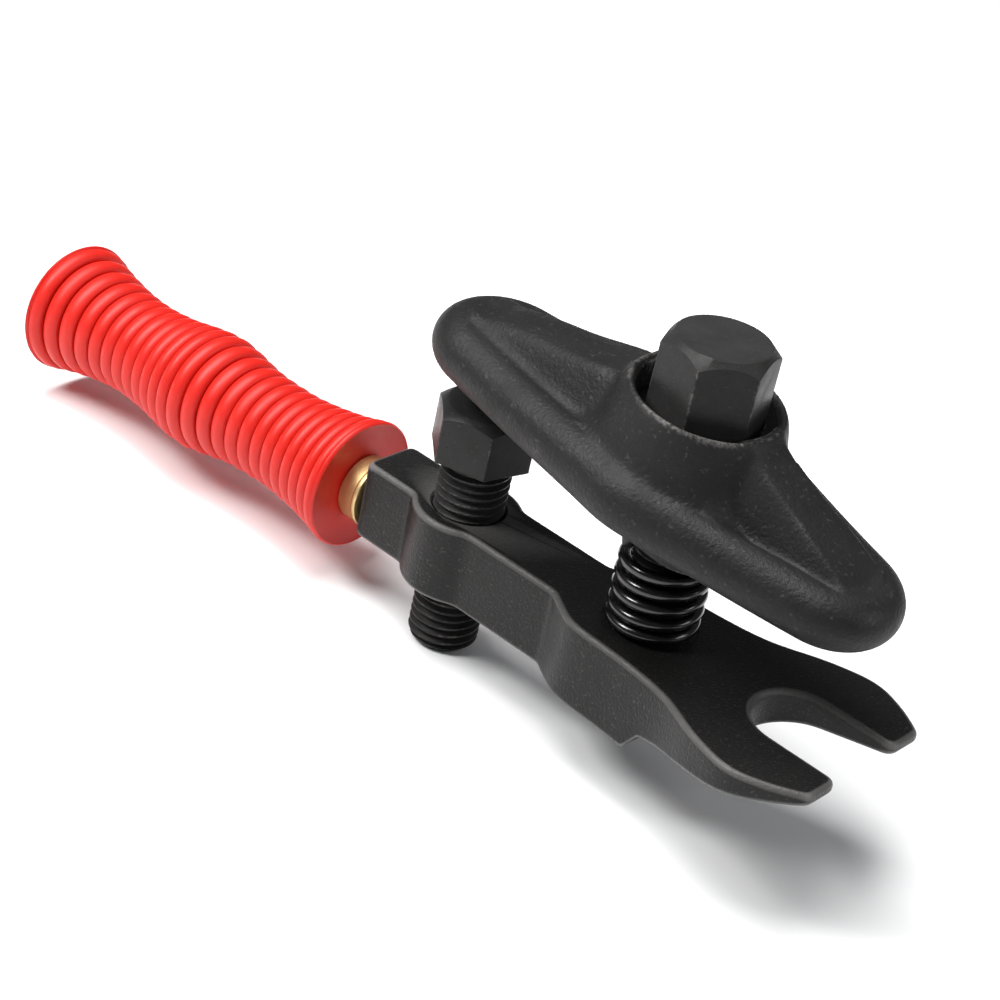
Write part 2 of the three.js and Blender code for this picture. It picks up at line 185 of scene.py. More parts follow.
def skin(rings, caps=True):
    """Walls between closed rings of as many points each, with a flat end on the first and the last."""
    count = len(rings[0])
    points = np.vstack(rings)
    faces = []
    for k in range(len(rings) - 1):
        low, high = k * count, (k + 1) * count
        for i in range(count):
            j = (i + 1) % count
            faces.append((low + i, low + j, high + j, high + i))
    if caps:
        last = (len(rings) - 1) * count
        faces.append(tuple(range(count - 1, -1, -1)))
        faces.append(tuple(range(last, last + count)))
    return points, faces


def turned(name, profile, sides=72, origin=(0.0, 0.0, 0.0), turn=0.0):
    """A turned piece: (radius, height) pairs spun about its own Z, from the axis to the axis or round a bore."""
    a = np.arange(sides) * 2 * math.pi / sides
    rings = [np.column_stack((r * np.cos(a), r * np.sin(a), np.full(sides, z))) for r, z in profile]
    points, faces = skin(rings, caps=False)
    return solid(name, to_frame(points, origin, turn), faces)


def rounded(corners, radius=0.4, steps=3):
    """A turned profile with its inner corners rounded off."""
    out = [corners[0]]
    for before, here, after in zip(corners, corners[1:], corners[2:]):
        here, u, w = np.array(here, float), np.subtract(before, here), np.subtract(after, here)
        lu, lw = np.linalg.norm(u), np.linalg.norm(w)
        reach = min(radius, 0.45 * lu, 0.45 * lw)
        start, end = here + u / lu * reach, here + w / lw * reach
        for t in np.linspace(0, 1, steps + 1):
            out.append(tuple((1 - t) ** 2 * start + 2 * t * (1 - t) * here + t * t * end))
    out.append(corners[-1])
    return out


def smooth(obj, angle=35):
    """Smooth shading, broken where two faces meet at more than the angle."""
    obj.data.shade_smooth()
    obj.data.set_sharp_from_angle(angle=math.radians(angle))
    return obj


def settled(obj):
    """The object's modifiers worked into a plain mesh."""
    graph = bpy.context.evaluated_depsgraph_get()
    mesh = bpy.data.meshes.new_from_object(obj.evaluated_get(graph))
    obj.modifiers.clear()
    old, obj.data = obj.data, mesh
    mesh.name = obj.name
    if old.users == 0:
        bpy.data.meshes.remove(old)
    return obj


def combine(obj, others, how):
    """Adds solids to obj, or cuts them out of it, one after another."""
    for other in others:
        step = obj.modifiers.new("combine", "BOOLEAN")
        step.operation, step.solver, step.object = how, "MANIFOLD", other
        settled(obj)
        bpy.data.objects.remove(other)
    return obj


def joined(obj, others):
    """Other objects' meshes added to obj's as they are."""
    bm = bmesh.new()
    for o in [obj, *others]:
        bm.from_mesh(o.data)
    bm.to_mesh(obj.data)
    bm.free()
    for o in others:
        bpy.data.objects.remove(o)
    return obj


def resampled(loop, spacing, soften=0):
    """A closed plan line with even spacing, its corners softened a little."""
    loop = np.asarray(loop, float)
    closed = np.vstack((loop, loop[:1]))
    run = np.concatenate(([0], np.cumsum(np.linalg.norm(np.diff(closed, axis=0), axis=1))))
    count = int(round(run[-1] / spacing))
    at = np.arange(count) * run[-1] / count
    out = np.column_stack([np.interp(at, run, closed[:, k]) for k in (0, 1)])
    for _ in range(soften):
        out = 0.5 * out + 0.25 * (np.roll(out, 1, 0) + np.roll(out, -1, 0))
    return out


def outward(loop):
    """The outward direction at each point of a closed plan line that runs anticlockwise."""
    along = np.roll(loop, -1, 0) - np.roll(loop, 1, 0)
    along /= np.linalg.norm(along, axis=1)[:, None]
    return np.column_stack((along[:, 1], -along[:, 0]))


def inside(points, loop):
    """True for the plan points that lie within the closed line."""
    x, y = points[:, 0], points[:, 1]
    hit = np.zeros(len(points), bool)
    for (x0, y0), (x1, y1) in zip(loop, np.roll(loop, -1, 0)):
        if y0 == y1:
            continue
        crosses = (y0 > y) != (y1 > y)
        hit ^= crosses & (x < (x1 - x0) * (y - y0) / (y1 - y0) + x0)
    return hit


def nearest(points, loop):
    """How far each plan point lies from the line's points."""
    best = np.full(len(points), 1e9)
    for q in loop:
        best = np.minimum(best, np.hypot(points[:, 0] - q[0], points[:, 1] - q[1]))
    return best


def spanned(loop, heights, spacing, height, lines=()):
    """A skin across a closed plan line, as points and faces: triangles on an even grid, lifted to height(x, y)."""
    lo, hi = loop.min(0), loop.max(0)
    xs = np.arange(lo[0] + spacing / 2, hi[0], spacing)
    for at in lines:
        xs = np.append(xs[np.abs(xs - at) > spacing * 0.4], at)
    ys = np.arange(-math.ceil(hi[1] / spacing) * spacing, hi[1], spacing)
    grid = np.array(np.meshgrid(np.sort(xs), ys)).reshape(2, -1).T
    grid = grid[inside(grid, loop)]
    grid = grid[nearest(grid, loop) > spacing * 0.6]
    flat = np.vstack((loop, grid))
    n = len(loop)
    verts, _, faces, origins, _, _ = delaunay_2d_cdt(
        [Vector(p) for p in flat], [(i, (i + 1) % n) for i in range(n)], [], 1, 1e-6)
    xy = np.array([tuple(v) for v in verts])
    z = height(xy[:, 0], xy[:, 1])
    for i, came_from in enumerate(origins):
        for k in came_from:
            if k < n:
                xy[i], z[i] = loop[k], heights[k]
    return np.column_stack((xy, z)), faces


def stacked(parts):
    """Several (points, faces) as one."""
    points, faces, start = [], [], 0
    for p, f in parts:
        points.append(p)
        faces += [tuple(start + i for i in face) for face in f]
        start += len(p)
    return np.vstack(points), faces


def arc(cx, cy, r, start, end, steps):
    """Points along an arc, its angles in degrees."""
    a = np.radians(np.linspace(start, end, steps + 1))
    return [(cx + r * math.cos(t), cy + r * math.sin(t)) for t in a]


def through(points, steps):
    """A smooth line through the points."""
    p = np.asarray(points, float)
    n = len(p)
    out = []
    for k in range(steps + 1):
        at = (n - 1) * k / steps
        i = min(int(at), n - 2)
        t = at - i
        a, b, c, d = p[max(i - 1, 0)], p[i], p[i + 1], p[min(i + 2, n - 1)]
        v0, v1 = (c - a) / 2, (d - b) / 2
        out.append(tuple((2 * b - 2 * c + v0 + v1) * t ** 3 + (3 * c - 3 * b - 2 * v0 - v1) * t ** 2 + v0 * t + b))
    return out


def mark_edges(obj, reach):
    """Notes on each point how sharply the surface bulges there, for the wear on edges and the body's painted edge
    highlight. reach is in millimetres.
    """
    mesh = obj.data
    count, links = len(mesh.vertices), len(mesh.edges)
    at, out, pairs = np.zeros(count * 3), np.zeros(count * 3), np.zeros(links * 2, int)
    mesh.vertices.foreach_get("co", at)
    mesh.vertex_normals.foreach_get("vector", out)
    mesh.edges.foreach_get("vertices", pairs)
    at, out, pairs = at.reshape(-1, 3), out.reshape(-1, 3), pairs.reshape(-1, 2)
    a, b = pairs[:, 0], pairs[:, 1]
    way = at[b] - at[a]
    bulge = ((out[b] - out[a]) * way).sum(1) / np.maximum((way * way).sum(1), 1e-12)
    total, share = np.zeros(count), np.zeros(count)
    for end in (a, b):
        np.add.at(total, end, np.maximum(bulge, 0))
        np.add.at(share, end, 1)
    value = np.clip(total / np.maximum(share, 1) * reach * 0.001, 0, 1)
    mesh.attributes.new("edge", "FLOAT", "POINT").data.foreach_set("value", value.astype(np.float32))
    return obj


# ---- node trees: sums written as sums ----
FLOAT, INT, VECTOR = "NodeSocketFloat", "NodeSocketInt", "NodeSocketVector"
SHAPE, MATERIAL = "NodeSocketGeometry", "NodeSocketMaterial"


class Num:
    """A number inside a node tree."""

    def __init__(self, tree, socket):
        self.tree, self.socket = tree, socket

    def do(self, operation, *others, clamp=False):
        node = self.tree.nodes.new("ShaderNodeMath")
        node.operation, node.use_clamp = operation, clamp
        for i, value in enumerate((self, *others)):
            put(self.tree, value, node.inputs[i])
        return Num(self.tree, node.outputs[0])

    def held(self):
        """The number kept between 0 and 1."""
        return self.do("ADD", 0.0, clamp=True)

    def __add__(self, other):
        return self.do("ADD", other)

    def __sub__(self, other):
        return self.do("SUBTRACT", other)

    def __mul__(self, other):
        return self.do("MULTIPLY", other)

    def __truediv__(self, other):
        return self.do("DIVIDE", other)


def put(tree, value, socket):
    """Links a value to a socket, or sets the socket to a plain one."""
    if isinstance(value, Num):
        tree.links.new(value.socket, socket)
    elif isinstance(value, bpy.types.NodeSocket):
        tree.links.new(value, socket)
    else:
        socket.default_value = value


def add(tree, kind, inputs=None, **settings):
    """A node with its settings and inputs, the inputs by name or number."""
    node = tree.nodes.new(kind)
    for key, value in settings.items():
        setattr(node, key, value)
    for key, value in (inputs or {}).items():
        put(tree, value, node.inputs[key])
    return node


def new_tree(name, kind, inputs, outputs):
    """A node group with named inputs (name, socket type, value) and outputs (name, socket type)."""
    tree = bpy.data.node_groups.new(name, kind)
    for label, socket, value in inputs:
        made = tree.interface.new_socket(name=label, in_out="INPUT", socket_type=socket)
        if value is not None:
            made.default_value = value
    for label, socket in outputs:
        tree.interface.new_socket(name=label, in_out="OUTPUT", socket_type=socket)
    return tree, tree.nodes.new("NodeGroupInput"), tree.nodes.new("NodeGroupOutput")


def grown(name, tree, sizes, material, start=None):
    """A piece made by a geometry tree with these sizes, as a plain mesh in millimetres about its own axis."""
    obj = start or link(name, bpy.data.meshes.new(name))
    step = obj.modifiers.new("shape", "NODES")
    step.node_group = tree
    keys = {s.name: s.identifier for s in tree.interface.items_tree if s.in_out == "INPUT"}
    for label, value in {**sizes, "Material": material}.items():
        step[keys[label]] = value
    settled(obj)
    return obj


def placed(obj, origin=(0.0, 0.0, 0.0), turn=0.0, join=1e-6):
    """Puts a millimetre mesh into the part's frame, closed up and facing outwards."""
    bm = bmesh.new()
    bm.from_mesh(obj.data)
    for v, p in zip(bm.verts, to_frame([tuple(v.co) for v in bm.verts], origin, turn)):
        v.co = p
    close_up(bm, join)
    bm.to_mesh(obj.data)
    bm.free()
    return obj


def vector(tree, x, y, z):
    return add(tree, "ShaderNodeCombineXYZ", {"X": x, "Y": y, "Z": z}).outputs[0]


def moved(tree, geometry, position):
    return add(tree, "GeometryNodeSetPosition", {"Geometry": geometry, "Position": position}).outputs["Geometry"]


def position(tree):
    """The X, Y and Z of each point."""
    here = tree.nodes.new("GeometryNodeInputPosition").outputs[0]
    return [Num(tree, socket) for socket in add(tree, "ShaderNodeSeparateXYZ", {0: here}).outputs]


def sheet_of_points(tree, sides, rows):
    """A grid to be rolled up: (geometry, share round, share along)."""
    grid = add(tree, "GeometryNodeMeshGrid", {"Size X": 1.0, "Size Y": 1.0, "Vertices X": sides, "Vertices Y": rows})
    x, y, _ = position(tree)
    return grid.outputs["Mesh"], x + 0.5, y + 0.5


def rolled(tree, geometry, share, radius, height):
    """Sets the grid's points on a round piece, by their share of a turn, radius and height."""
    angle = share * (2 * math.pi)
    return moved(tree, geometry, vector(tree, angle.do("COSINE") * radius, angle.do("SINE") * radius, height))


def delivered(tree, geometry, material, output):
    """The end of every geometry tree: real geometry with its material."""
    real = add(tree, "GeometryNodeRealizeInstances", {"Geometry": geometry})
    done = add(tree, "GeometryNodeSetMaterial", {"Geometry": real.outputs["Geometry"], "Material": material})
    tree.links.new(done.outputs["Geometry"], output.inputs[0])


def thread_tree():
    """A screw's threaded shank: the rows of the grid follow the thread, and both ends close on the axis."""
    tree, given, out = new_tree("screw thread", "GeometryNodeTree", [
        ("Radius", FLOAT, 9.0), ("Low end", FLOAT, 0.0), ("High end", FLOAT, 20.0),
        ("Pitch", FLOAT, 2.5), ("Depth", FLOAT, 1.4), ("End chamfer", FLOAT, 2.0),
        ("Sides", INT, 73), ("Rows", INT, 100), ("Material", MATERIAL, None),
    ], [("Geometry", SHAPE)])
    g = {k: Num(tree, given.outputs[k]) for k in ("Radius", "Low end", "High end", "Pitch", "Depth", "End chamfer")}
    mesh, share, along = sheet_of_points(tree, given.outputs["Sides"], given.outputs["Rows"])
    start = g["Low end"] - g["Pitch"]
    run = (g["High end"] - start) * along
    turn_of_thread = (run / g["Pitch"]).do("FRACT")
    slope = (turn_of_thread * 2.0 - 1.0).do("ABSOLUTE")
    cut = ((slope - 0.14) / 0.7).held()
    z = (start + run + share * g["Pitch"]).do("MAXIMUM", g["Low end"]).do("MINIMUM", g["High end"])
    core = g["Radius"] - g["Depth"]
    to_end = (z - g["Low end"]).do("MINIMUM", g["High end"] - z)
    chamfer = core - 0.35 + to_end * (g["Depth"] / g["End chamfer"]) * 1.35
    radius = (g["Radius"] - cut * g["Depth"]).do("MINIMUM", chamfer)
    open_rows = (along.do("GREATER_THAN", 0.0001)) * (along.do("LESS_THAN", 0.9999))
    body = rolled(tree, mesh, share, radius * open_rows, z)
    delivered(tree, body, given.outputs["Material"], out)
    return tree


def spring_tree():
    """A compression spring: a wire along a helix that starts with a closed turn and ends open, both ends ground."""
    tree, given, out = new_tree("return spring", "GeometryNodeTree", [
        ("Outside radius", FLOAT, 12.0), ("Wire", FLOAT, 3.0),
        ("Pitch", FLOAT, 4.6), ("End angle", FLOAT, 0.0),
        ("Height", FLOAT, 25.0), ("Steps", INT, 300),
        ("Wire sides", INT, 20), ("Material", MATERIAL, None),
    ], [("Geometry", SHAPE)])
    g = {k: Num(tree, given.outputs[k]) for k in ("Outside radius", "Wire", "Pitch", "End angle", "Height")}
    line = add(tree, "GeometryNodeCurvePrimitiveLine", {"Start": (0, 0, 0), "End": (0, 0, 1)})
    steps = add(tree, "GeometryNodeResampleCurve", {"Curve": line.outputs["Curve"], "Count": given.outputs["Steps"]})
    along = Num(tree, tree.nodes.new("GeometryNodeSplineParameter").outputs["Factor"])
    top = g["Height"] - g["Wire"] * 0.3
    turns = (top - g["Wire"] * 1.25) / g["Pitch"] + 1.0
    turn = along * turns
    wide = (turn - 1.0).do("MAXIMUM", 0.0)
    close = turn - wide
    angle = (turn - turns) * (2 * math.pi) + g["End angle"]
    middle = g["Outside radius"] - g["Wire"] * 0.5
    rise = g["Wire"] * 0.25 + close * g["Wire"] + wide * g["Pitch"]
    helix = moved(tree, steps.outputs["Curve"],
                  vector(tree, angle.do("COSINE") * middle, angle.do("SINE") * middle, rise))
    ring = add(tree, "GeometryNodeCurvePrimitiveCircle",
               {"Resolution": given.outputs["Wire sides"], "Radius": g["Wire"] * 0.5})
    wire = add(tree, "GeometryNodeCurveToMesh",
               {"Curve": helix, "Profile Curve": ring.outputs["Curve"], "Fill Caps": True})
    x, y, z = position(tree)
    ground = vector(tree, x, y, z.do("MAXIMUM", 0.0).do("MINIMUM", g["Height"]))
    delivered(tree, moved(tree, wire.outputs["Mesh"], ground), given.outputs["Material"], out)
    return tree


def bead_tree():
    """The grip's beads: a half-round ring at each point of the start mesh, as wide and as big as that point says."""
    tree, given, out = new_tree("grip beads", "GeometryNodeTree", [
        ("Geometry", SHAPE, None), ("Bead height", FLOAT, 0.1),
        ("Sides", INT, 97), ("Rows", INT, 19), ("Material", MATERIAL, None),
    ], [("Geometry", SHAPE)])
    mesh, share, along = sheet_of_points(tree, given.outputs["Sides"], given.outputs["Rows"])
    height = Num(tree, given.outputs["Bead height"])
    round_wire = along * (2 * math.pi)
    radius = round_wire.do("COSINE") * height - height + 1.0
    bead = rolled(tree, mesh, share, radius, round_wire.do("SINE"))
    kind = "GeometryNodeInputNamedAttribute"
    size, width = [add(tree, kind, {"Name": label}, data_type="FLOAT").outputs["Attribute"]
                   for label in ("crest", "half_width")]
    copies = add(tree, "GeometryNodeInstanceOnPoints", {
        "Points": given.outputs["Geometry"], "Instance": bead, "Scale": vector(tree, size, size, width)})
    delivered(tree, copies.outputs["Instances"], given.outputs["Material"], out)
    return tree


# ---- finishes ----
def noise(tree, at, scale, detail, **inputs):
    """A noise's value at a place."""
    node = add(tree, "ShaderNodeTexNoise", {"Vector": at, "Scale": scale, "Detail": detail, **inputs})
    return Num(tree, node.outputs[0])


def grain_group():
    """Forged or cast grain: a fine height, a slow mottling and scattered flecks."""
    tree, given, out = new_tree("forged grain", "ShaderNodeTree", [
        ("Vector", VECTOR, None), ("Grain scale", FLOAT, 1500.0),
        ("Mottle scale", FLOAT, 90.0), ("Fleck scale", FLOAT, 900.0),
        ("Fleck share", FLOAT, 0.2),
    ], [("Height", FLOAT), ("Mottle", FLOAT), ("Flecks", FLOAT)])
    at = given.outputs["Vector"]
    fine = noise(tree, at, given.outputs["Grain scale"], 3.0, Roughness=0.6)
    slow = noise(tree, at, given.outputs["Mottle scale"], 4.0, Roughness=0.6)
    spots = noise(tree, at, given.outputs["Fleck scale"], 2.0, Roughness=0.55)
    edge = Num(tree, given.outputs["Fleck share"]) * -0.5 + 0.78
    put(tree, fine, out.inputs["Height"])
    put(tree, slow, out.inputs["Mottle"])
    put(tree, ((spots - edge) * 12.0).held(), out.inputs["Flecks"])
    return tree


def wear_group():
    """Wear on edges: where the surface bulges, broken up into patches and specks."""
    tree, given, out = new_tree("edge wear", "ShaderNodeTree", [
        ("Vector", VECTOR, None), ("Edge", FLOAT, 0.0), ("Amount", FLOAT, 1.0),
        ("Patch scale", FLOAT, 120.0), ("Speck scale", FLOAT, 900.0),
    ], [("Mask", FLOAT)])
    at = given.outputs["Vector"]
    patch = noise(tree, at, given.outputs["Patch scale"], 3.0)
    speck = noise(tree, at, given.outputs["Speck scale"], 2.0)
    broken = patch * 1.1 + speck * 0.9 - 0.75
    mask = (Num(tree, given.outputs["Edge"]) * broken * given.outputs["Amount"] * 4.0 - 0.25).held()
    put(tree, mask, out.inputs["Mask"])
    return tree


def marks_group():
    """Handling marks: a value that wanders between two limits in broad smudges and fine streaks."""
    tree, given, out = new_tree("handling marks", "ShaderNodeTree", [
        ("Vector", VECTOR, None), ("Scale", FLOAT, 60.0),
        ("Low", FLOAT, 0.3), ("High", FLOAT, 0.5),
    ], [("Value", FLOAT)])
    at = given.outputs["Vector"]
    broad = noise(tree, at, given.outputs["Scale"], 5.0, Roughness=0.65, Distortion=0.6)
    level = ((broad - 0.3) * 2.5).held()
    span = Num(tree, given.outputs["High"]) - given.outputs["Low"]
    put(tree, level * span + given.outputs["Low"], out.inputs["Value"])
    return tree


GRAIN, WEAR, MARKS = grain_group(), wear_group(), marks_group()


class Finish:
    """A material with the parts that every finish here uses."""

    def __init__(self, name, **fixed):
        self.material = bpy.data.materials.new(name)
        self.material.use_nodes = True
        self.tree = self.material.node_tree
        self.shader = self.tree.nodes["Principled BSDF"]
        self.at = add(self.tree, "ShaderNodeTexCoord").outputs["Object"]
        for key, value in fixed.items():
            self.shader.inputs[key.replace("_", " ")].default_value = value

    def group(self, tree, **values):
        node = add(self.tree, "ShaderNodeGroup", node_tree=tree)
        put(self.tree, self.at, node.inputs["Vector"])
        for key, value in values.items():
            put(self.tree, value, node.inputs[key.replace("_", " ")])
        return node.outputs

    def edge(self):
        return add(self.tree, "ShaderNodeAttribute", attribute_name="edge").outputs["Fac"]

    def mix(self, share, a, b):
        node = add(self.tree, "ShaderNodeMix", data_type="RGBA")
        for key, value in zip((0, 6, 7), (share, a, b)):
            put(self.tree, value if not isinstance(value, tuple) else (*value, 1.0), node.inputs[key])
        return node.outputs[2]

    def blend(self, share, a, b):
        """A number that goes from a to b by share."""
        node = add(self.tree, "ShaderNodeMix", {0: share, 2: a, 3: b}, data_type="FLOAT")
        return node.outputs[0]

    def bump(self, height, depth, normal=None):
        """A bump whose full height is depth metres."""
        values = {"Height": height, "Distance": depth, "Strength": 1.0}
        if normal is not None:
            values["Normal"] = normal
        return add(self.tree, "ShaderNodeBump", values).outputs["Normal"]

    def wear(self, **inputs):
        for key, value in inputs.items():
            put(self.tree, value, self.shader.inputs[key.replace("_", " ")])
        return self.material


def black_forging():
    f = Finish("black forging", Specular_IOR_Level=0.18)
    grain = f.group(GRAIN, Grain_scale=1150.0, Mottle_scale=70.0, Fleck_scale=1200.0, Fleck_share=0.34)
    marks = f.group(MARKS, Scale=45.0, Low=0.26, High=0.38)
    worn = f.group(WEAR, Edge=f.edge(), Amount=0.35, Patch_scale=90.0)["Mask"]
    base = f.mix(grain["Mottle"], (0.006, 0.006, 0.0062), (0.013, 0.0123, 0.0115))
    base = f.mix(f.blend(grain["Flecks"], 0.0, 0.7), base, (0.05, 0.047, 0.043))
    # painted highlight: a smooth lighter band on the rounded edges, standing in for the light they catch
    painted_edge_highlight = ((Num(f.tree, f.edge()) - 0.22) * 1.8).held()
    base = f.mix(painted_edge_highlight.socket, base, (0.13, 0.127, 0.122))
    # edge wear in patches and specks; its light colour also paints in the edge highlight
    base = f.mix(worn, base, (0.12, 0.115, 0.11))
    return f.wear(Base_Color=base, Roughness=marks["Value"], Normal=f.bump(grain["Height"], 0.00022))


def bare_forging():
    f = Finish("bare forging", Specular_IOR_Level=0.2)
    grain = f.group(GRAIN, Grain_scale=900.0, Mottle_scale=55.0, Fleck_scale=650.0, Fleck_share=0.3)
    marks = f.group(MARKS, Scale=60.0, Low=0.4, High=0.6)
    worn = f.group(WEAR, Edge=f.edge(), Amount=0.5, Patch_scale=110.0, Speck_scale=1100.0)["Mask"]
    base = f.mix(grain["Mottle"], (0.007, 0.007, 0.0072), (0.017, 0.0165, 0.016))
    base = f.mix(f.blend(grain["Flecks"], 0.0, 0.35), base, (0.07, 0.068, 0.066))
    base = f.mix(worn, base, (0.2, 0.19, 0.18))
    return f.wear(Base_Color=base, Roughness=marks["Value"], Metallic=f.blend(worn, 0.0, 0.85),
                  Normal=f.bump(grain["Height"], 0.00025))


def blackened_steel():
    f = Finish("blackened steel", Specular_IOR_Level=0.1)
    grain = f.group(GRAIN, Grain_scale=2200.0, Mottle_scale=120.0, Fleck_scale=1100.0, Fleck_share=0.24)
    marks = f.group(MARKS, Scale=130.0, Low=0.26, High=0.44)
    worn = f.group(WEAR, Edge=f.edge(), Amount=0.3, Patch_scale=150.0)["Mask"]
    base = f.mix(grain["Mottle"], (0.017, 0.0163, 0.016), (0.036, 0.0345, 0.034))
    base = f.mix(f.blend(grain["Flecks"], 0.0, 0.4), base, (0.07, 0.067, 0.065))
    base = f.mix(worn, base, (0.2, 0.19, 0.18))
    return f.wear(Base_Color=base, Roughness=marks["Value"], Metallic=f.blend(worn, 0.0, 0.8),
                  Normal=f.bump(grain["Height"], 0.00007))


def spring_black():
    f = Finish("spring black", Specular_IOR_Level=0.4, Coat_Weight=0.4, Coat_Roughness=0.12)
    grain = f.group(GRAIN, Grain_scale=1500.0, Mottle_scale=150.0, Fleck_scale=900.0, Fleck_share=0.1)
    marks = f.group(MARKS, Scale=160.0, Low=0.16, High=0.28)
    base = f.mix(grain["Mottle"], (0.003, 0.003, 0.0032), (0.006, 0.006, 0.006))
    return f.wear(Base_Color=base, Roughness=marks["Value"], Normal=f.bump(grain["Height"], 0.00003))


def plated_steel(name, dark, light, low, high):
    f = Finish(name, Specular_IOR_Level=0.5)
    grain = f.group(GRAIN, Grain_scale=2600.0, Mottle_scale=140.0, Fleck_scale=900.0, Fleck_share=0.1)
    marks = f.group(MARKS, Scale=150.0, Low=low, High=high)
    worn = f.group(WEAR, Edge=f.edge(), Amount=0.6, Patch_scale=160.0)["Mask"]
    base = f.mix(worn, f.mix(grain["Mottle"], dark, light), tuple(min(1.0, c * 1.3) for c in light))
    return f.wear(Base_Color=base, Roughness=marks["Value"], Metallic=f.blend(worn, 0.95, 1.0),
                  Normal=f.bump(grain["Height"], 0.00003))


def red_plastic():
    f = Finish("red plastic", Specular_IOR_Level=0.35, Subsurface_Weight=0.05, Subsurface_Scale=0.002)
    f.shader.inputs["Subsurface Radius"].default_value = (1.0, 0.25, 0.12)
    grain = f.group(GRAIN, Grain_scale=1300.0, Mottle_scale=60.0, Fleck_scale=800.0, Fleck_share=0.1)
    marks = f.group(MARKS, Scale=70.0, Low=0.4, High=0.52)
    base = f.mix(grain["Mottle"], (0.53, 0.010, 0.005), (0.6, 0.015, 0.0075))
    return f.wear(Base_Color=base, Roughness=marks["Value"], Normal=f.bump(grain["Height"], 0.00003))


BLACK_FORGING, BARE_FORGING, BLACKENED = black_forging(), bare_forging(), blackened_steel()
SPRING_BLACK, RED = spring_black(), red_plastic()
YELLOW_ZINC = plated_steel("yellow zinc", (0.5, 0.35, 0.15), (0.7, 0.52, 0.26), 0.36, 0.5)
ZINC = plated_steel("zinc plate", (0.42, 0.42, 0.43), (0.56, 0.56, 0.55), 0.24, 0.4)


def fitted(obj, body, node, material, reach=1.0, angle=35):
    """Gives a finished piece its material and smooth shading, hides the CAD part of the node it stands for, and sets
    it on the body it moves with.
    """
    obj.data.materials.clear()
    obj.data.materials.append(material)
    smooth(obj, angle)
    mark_edges(obj, reach)
    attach(obj, body)
    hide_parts(node)
    return obj


# ---- body ----
def body_outline():
    """The forging's plan, anticlockwise: tang, boss round the adjusting screw, bar, shoulders and fork."""
    half = arc(TANG_REAR_X + 2, TANG_HALF_WIDTH - 2, 2, 180, 90, 4)
    meets = 180 - math.degrees(math.asin(TANG_HALF_WIDTH / BOSS_RADIUS))
    fillet_y = BAR_HALF_WIDTH + BOSS_FILLET
    fillet_at = math.degrees(math.asin(fillet_y / (BOSS_RADIUS + BOSS_FILLET)))
    fillet_x = ADJUST_X + (BOSS_RADIUS + BOSS_FILLET) * math.cos(math.radians(fillet_at))
    half += arc(ADJUST_X, 0, BOSS_RADIUS, meets, fillet_at, 16)
    half += arc(fillet_x, fillet_y, BOSS_FILLET, fillet_at + 180, 270, 8)
    half += through([(-24, BAR_HALF_WIDTH), (-18.5, 15.4), (-10.5, 19), (8, 20.4), (23, 23), (38, 29.5), (51, 32.6),
                     (61, 29.8), (FORK_TIP_X - 1, 24.4), (FORK_TIP_X, 22.4)], 70)
    half += [(FORK_TIP_X, FORK_GAP / 2 + 1.5), (FORK_TIP_X - 1.5, FORK_GAP / 2)]
    half += arc(THROAT_ROOT_X + FORK_GAP / 2, 0, FORK_GAP / 2, 90, 180, 16)
    lower = half[::-1]
    loop = [(x, -y) for x, y in half] + lower[1:]
    return resampled(loop, 0.8, soften=3)


def underside(x):
    """The underside's height along the body: flat, a step up behind the fork, then a wedge to the prongs' tips."""
    return np.interp(x, (LIP_X, LIP_X + LIP_RUN, THROAT_ROOT_X, FORK_TIP_X),
                     (-BODY_HEIGHT, -WEDGE_ROOT, -WEDGE_THROAT, -TIP_THICKNESS))


def make_body():
    loop = body_outline()
    out = outward(loop)

    def ring(inset, rise, from_top):
        xy = loop - out * inset
        z = np.full(len(xy), rise) if from_top else underside(xy[:, 0]) + rise
        return np.column_stack((xy, z))

    def quarter(radius):
        return [(radius * (1 - math.sin(a)), radius * (1 - math.cos(a))) for a in np.linspace(0, math.pi / 2, 7)]

    def beside(top):
        """A ring on the upright wall, close to its upper or lower rounded edge."""
        low, high = underside(loop[:, 0]) + BODY_LOW_EDGE, -BODY_TOP_EDGE
        step = np.minimum(0.8, (high - low) * 0.25)
        return np.column_stack((loop, high - step if top else low + step))

    rings = [ring(BODY_LOW_EDGE + 0.3, 0, False)]
    rings += [ring(inset, rise, False) for inset, rise in quarter(BODY_LOW_EDGE)]
    rings += [beside(False), beside(True)]
    rings += [ring(inset, -drop, True) for inset, drop in reversed(quarter(BODY_TOP_EDGE))]
    rings += [ring(BODY_TOP_EDGE + 0.3, 0, True)]
    walls = skin(rings, caps=False)
    top, bottom = rings[-1], rings[0]
    creases = (LIP_X, LIP_X + LIP_RUN, THROAT_ROOT_X)
    below = spanned(bottom[:, :2], bottom[:, 2], 2.0, lambda x, y: underside(x), creases)
    points, faces = stacked([walls, (top, [tuple(range(len(top)))]), below])
    body = solid("body_forging", to_frame(points), faces)
    low = -BODY_HEIGHT - 2
    bore, seat = FORCE_RADIUS + GAP, SPRING_RADIUS + GAP
    force_hole = turned("force_hole", [(0, low), (bore + 3, low), (bore, -BODY_HEIGHT + 1), (bore, -SPRING_SEAT_DEPTH),
                                       (seat, -SPRING_SEAT_DEPTH), (seat, 2), (0, 2)])
    bore = ADJUST_RADIUS + GAP
    adjust_hole = turned("adjust_hole", [(0, low), (bore + 3, low), (bore, -BODY_HEIGHT + 1), (bore, -0.6),
                                         (bore + 2.6, 2), (0, 2)], origin=(ADJUST_X, 0, 0))
    combine(body, [force_hole, adjust_hole], "DIFFERENCE")
    return fitted(body, "frame", "body", BLACK_FORGING, reach=1.6)


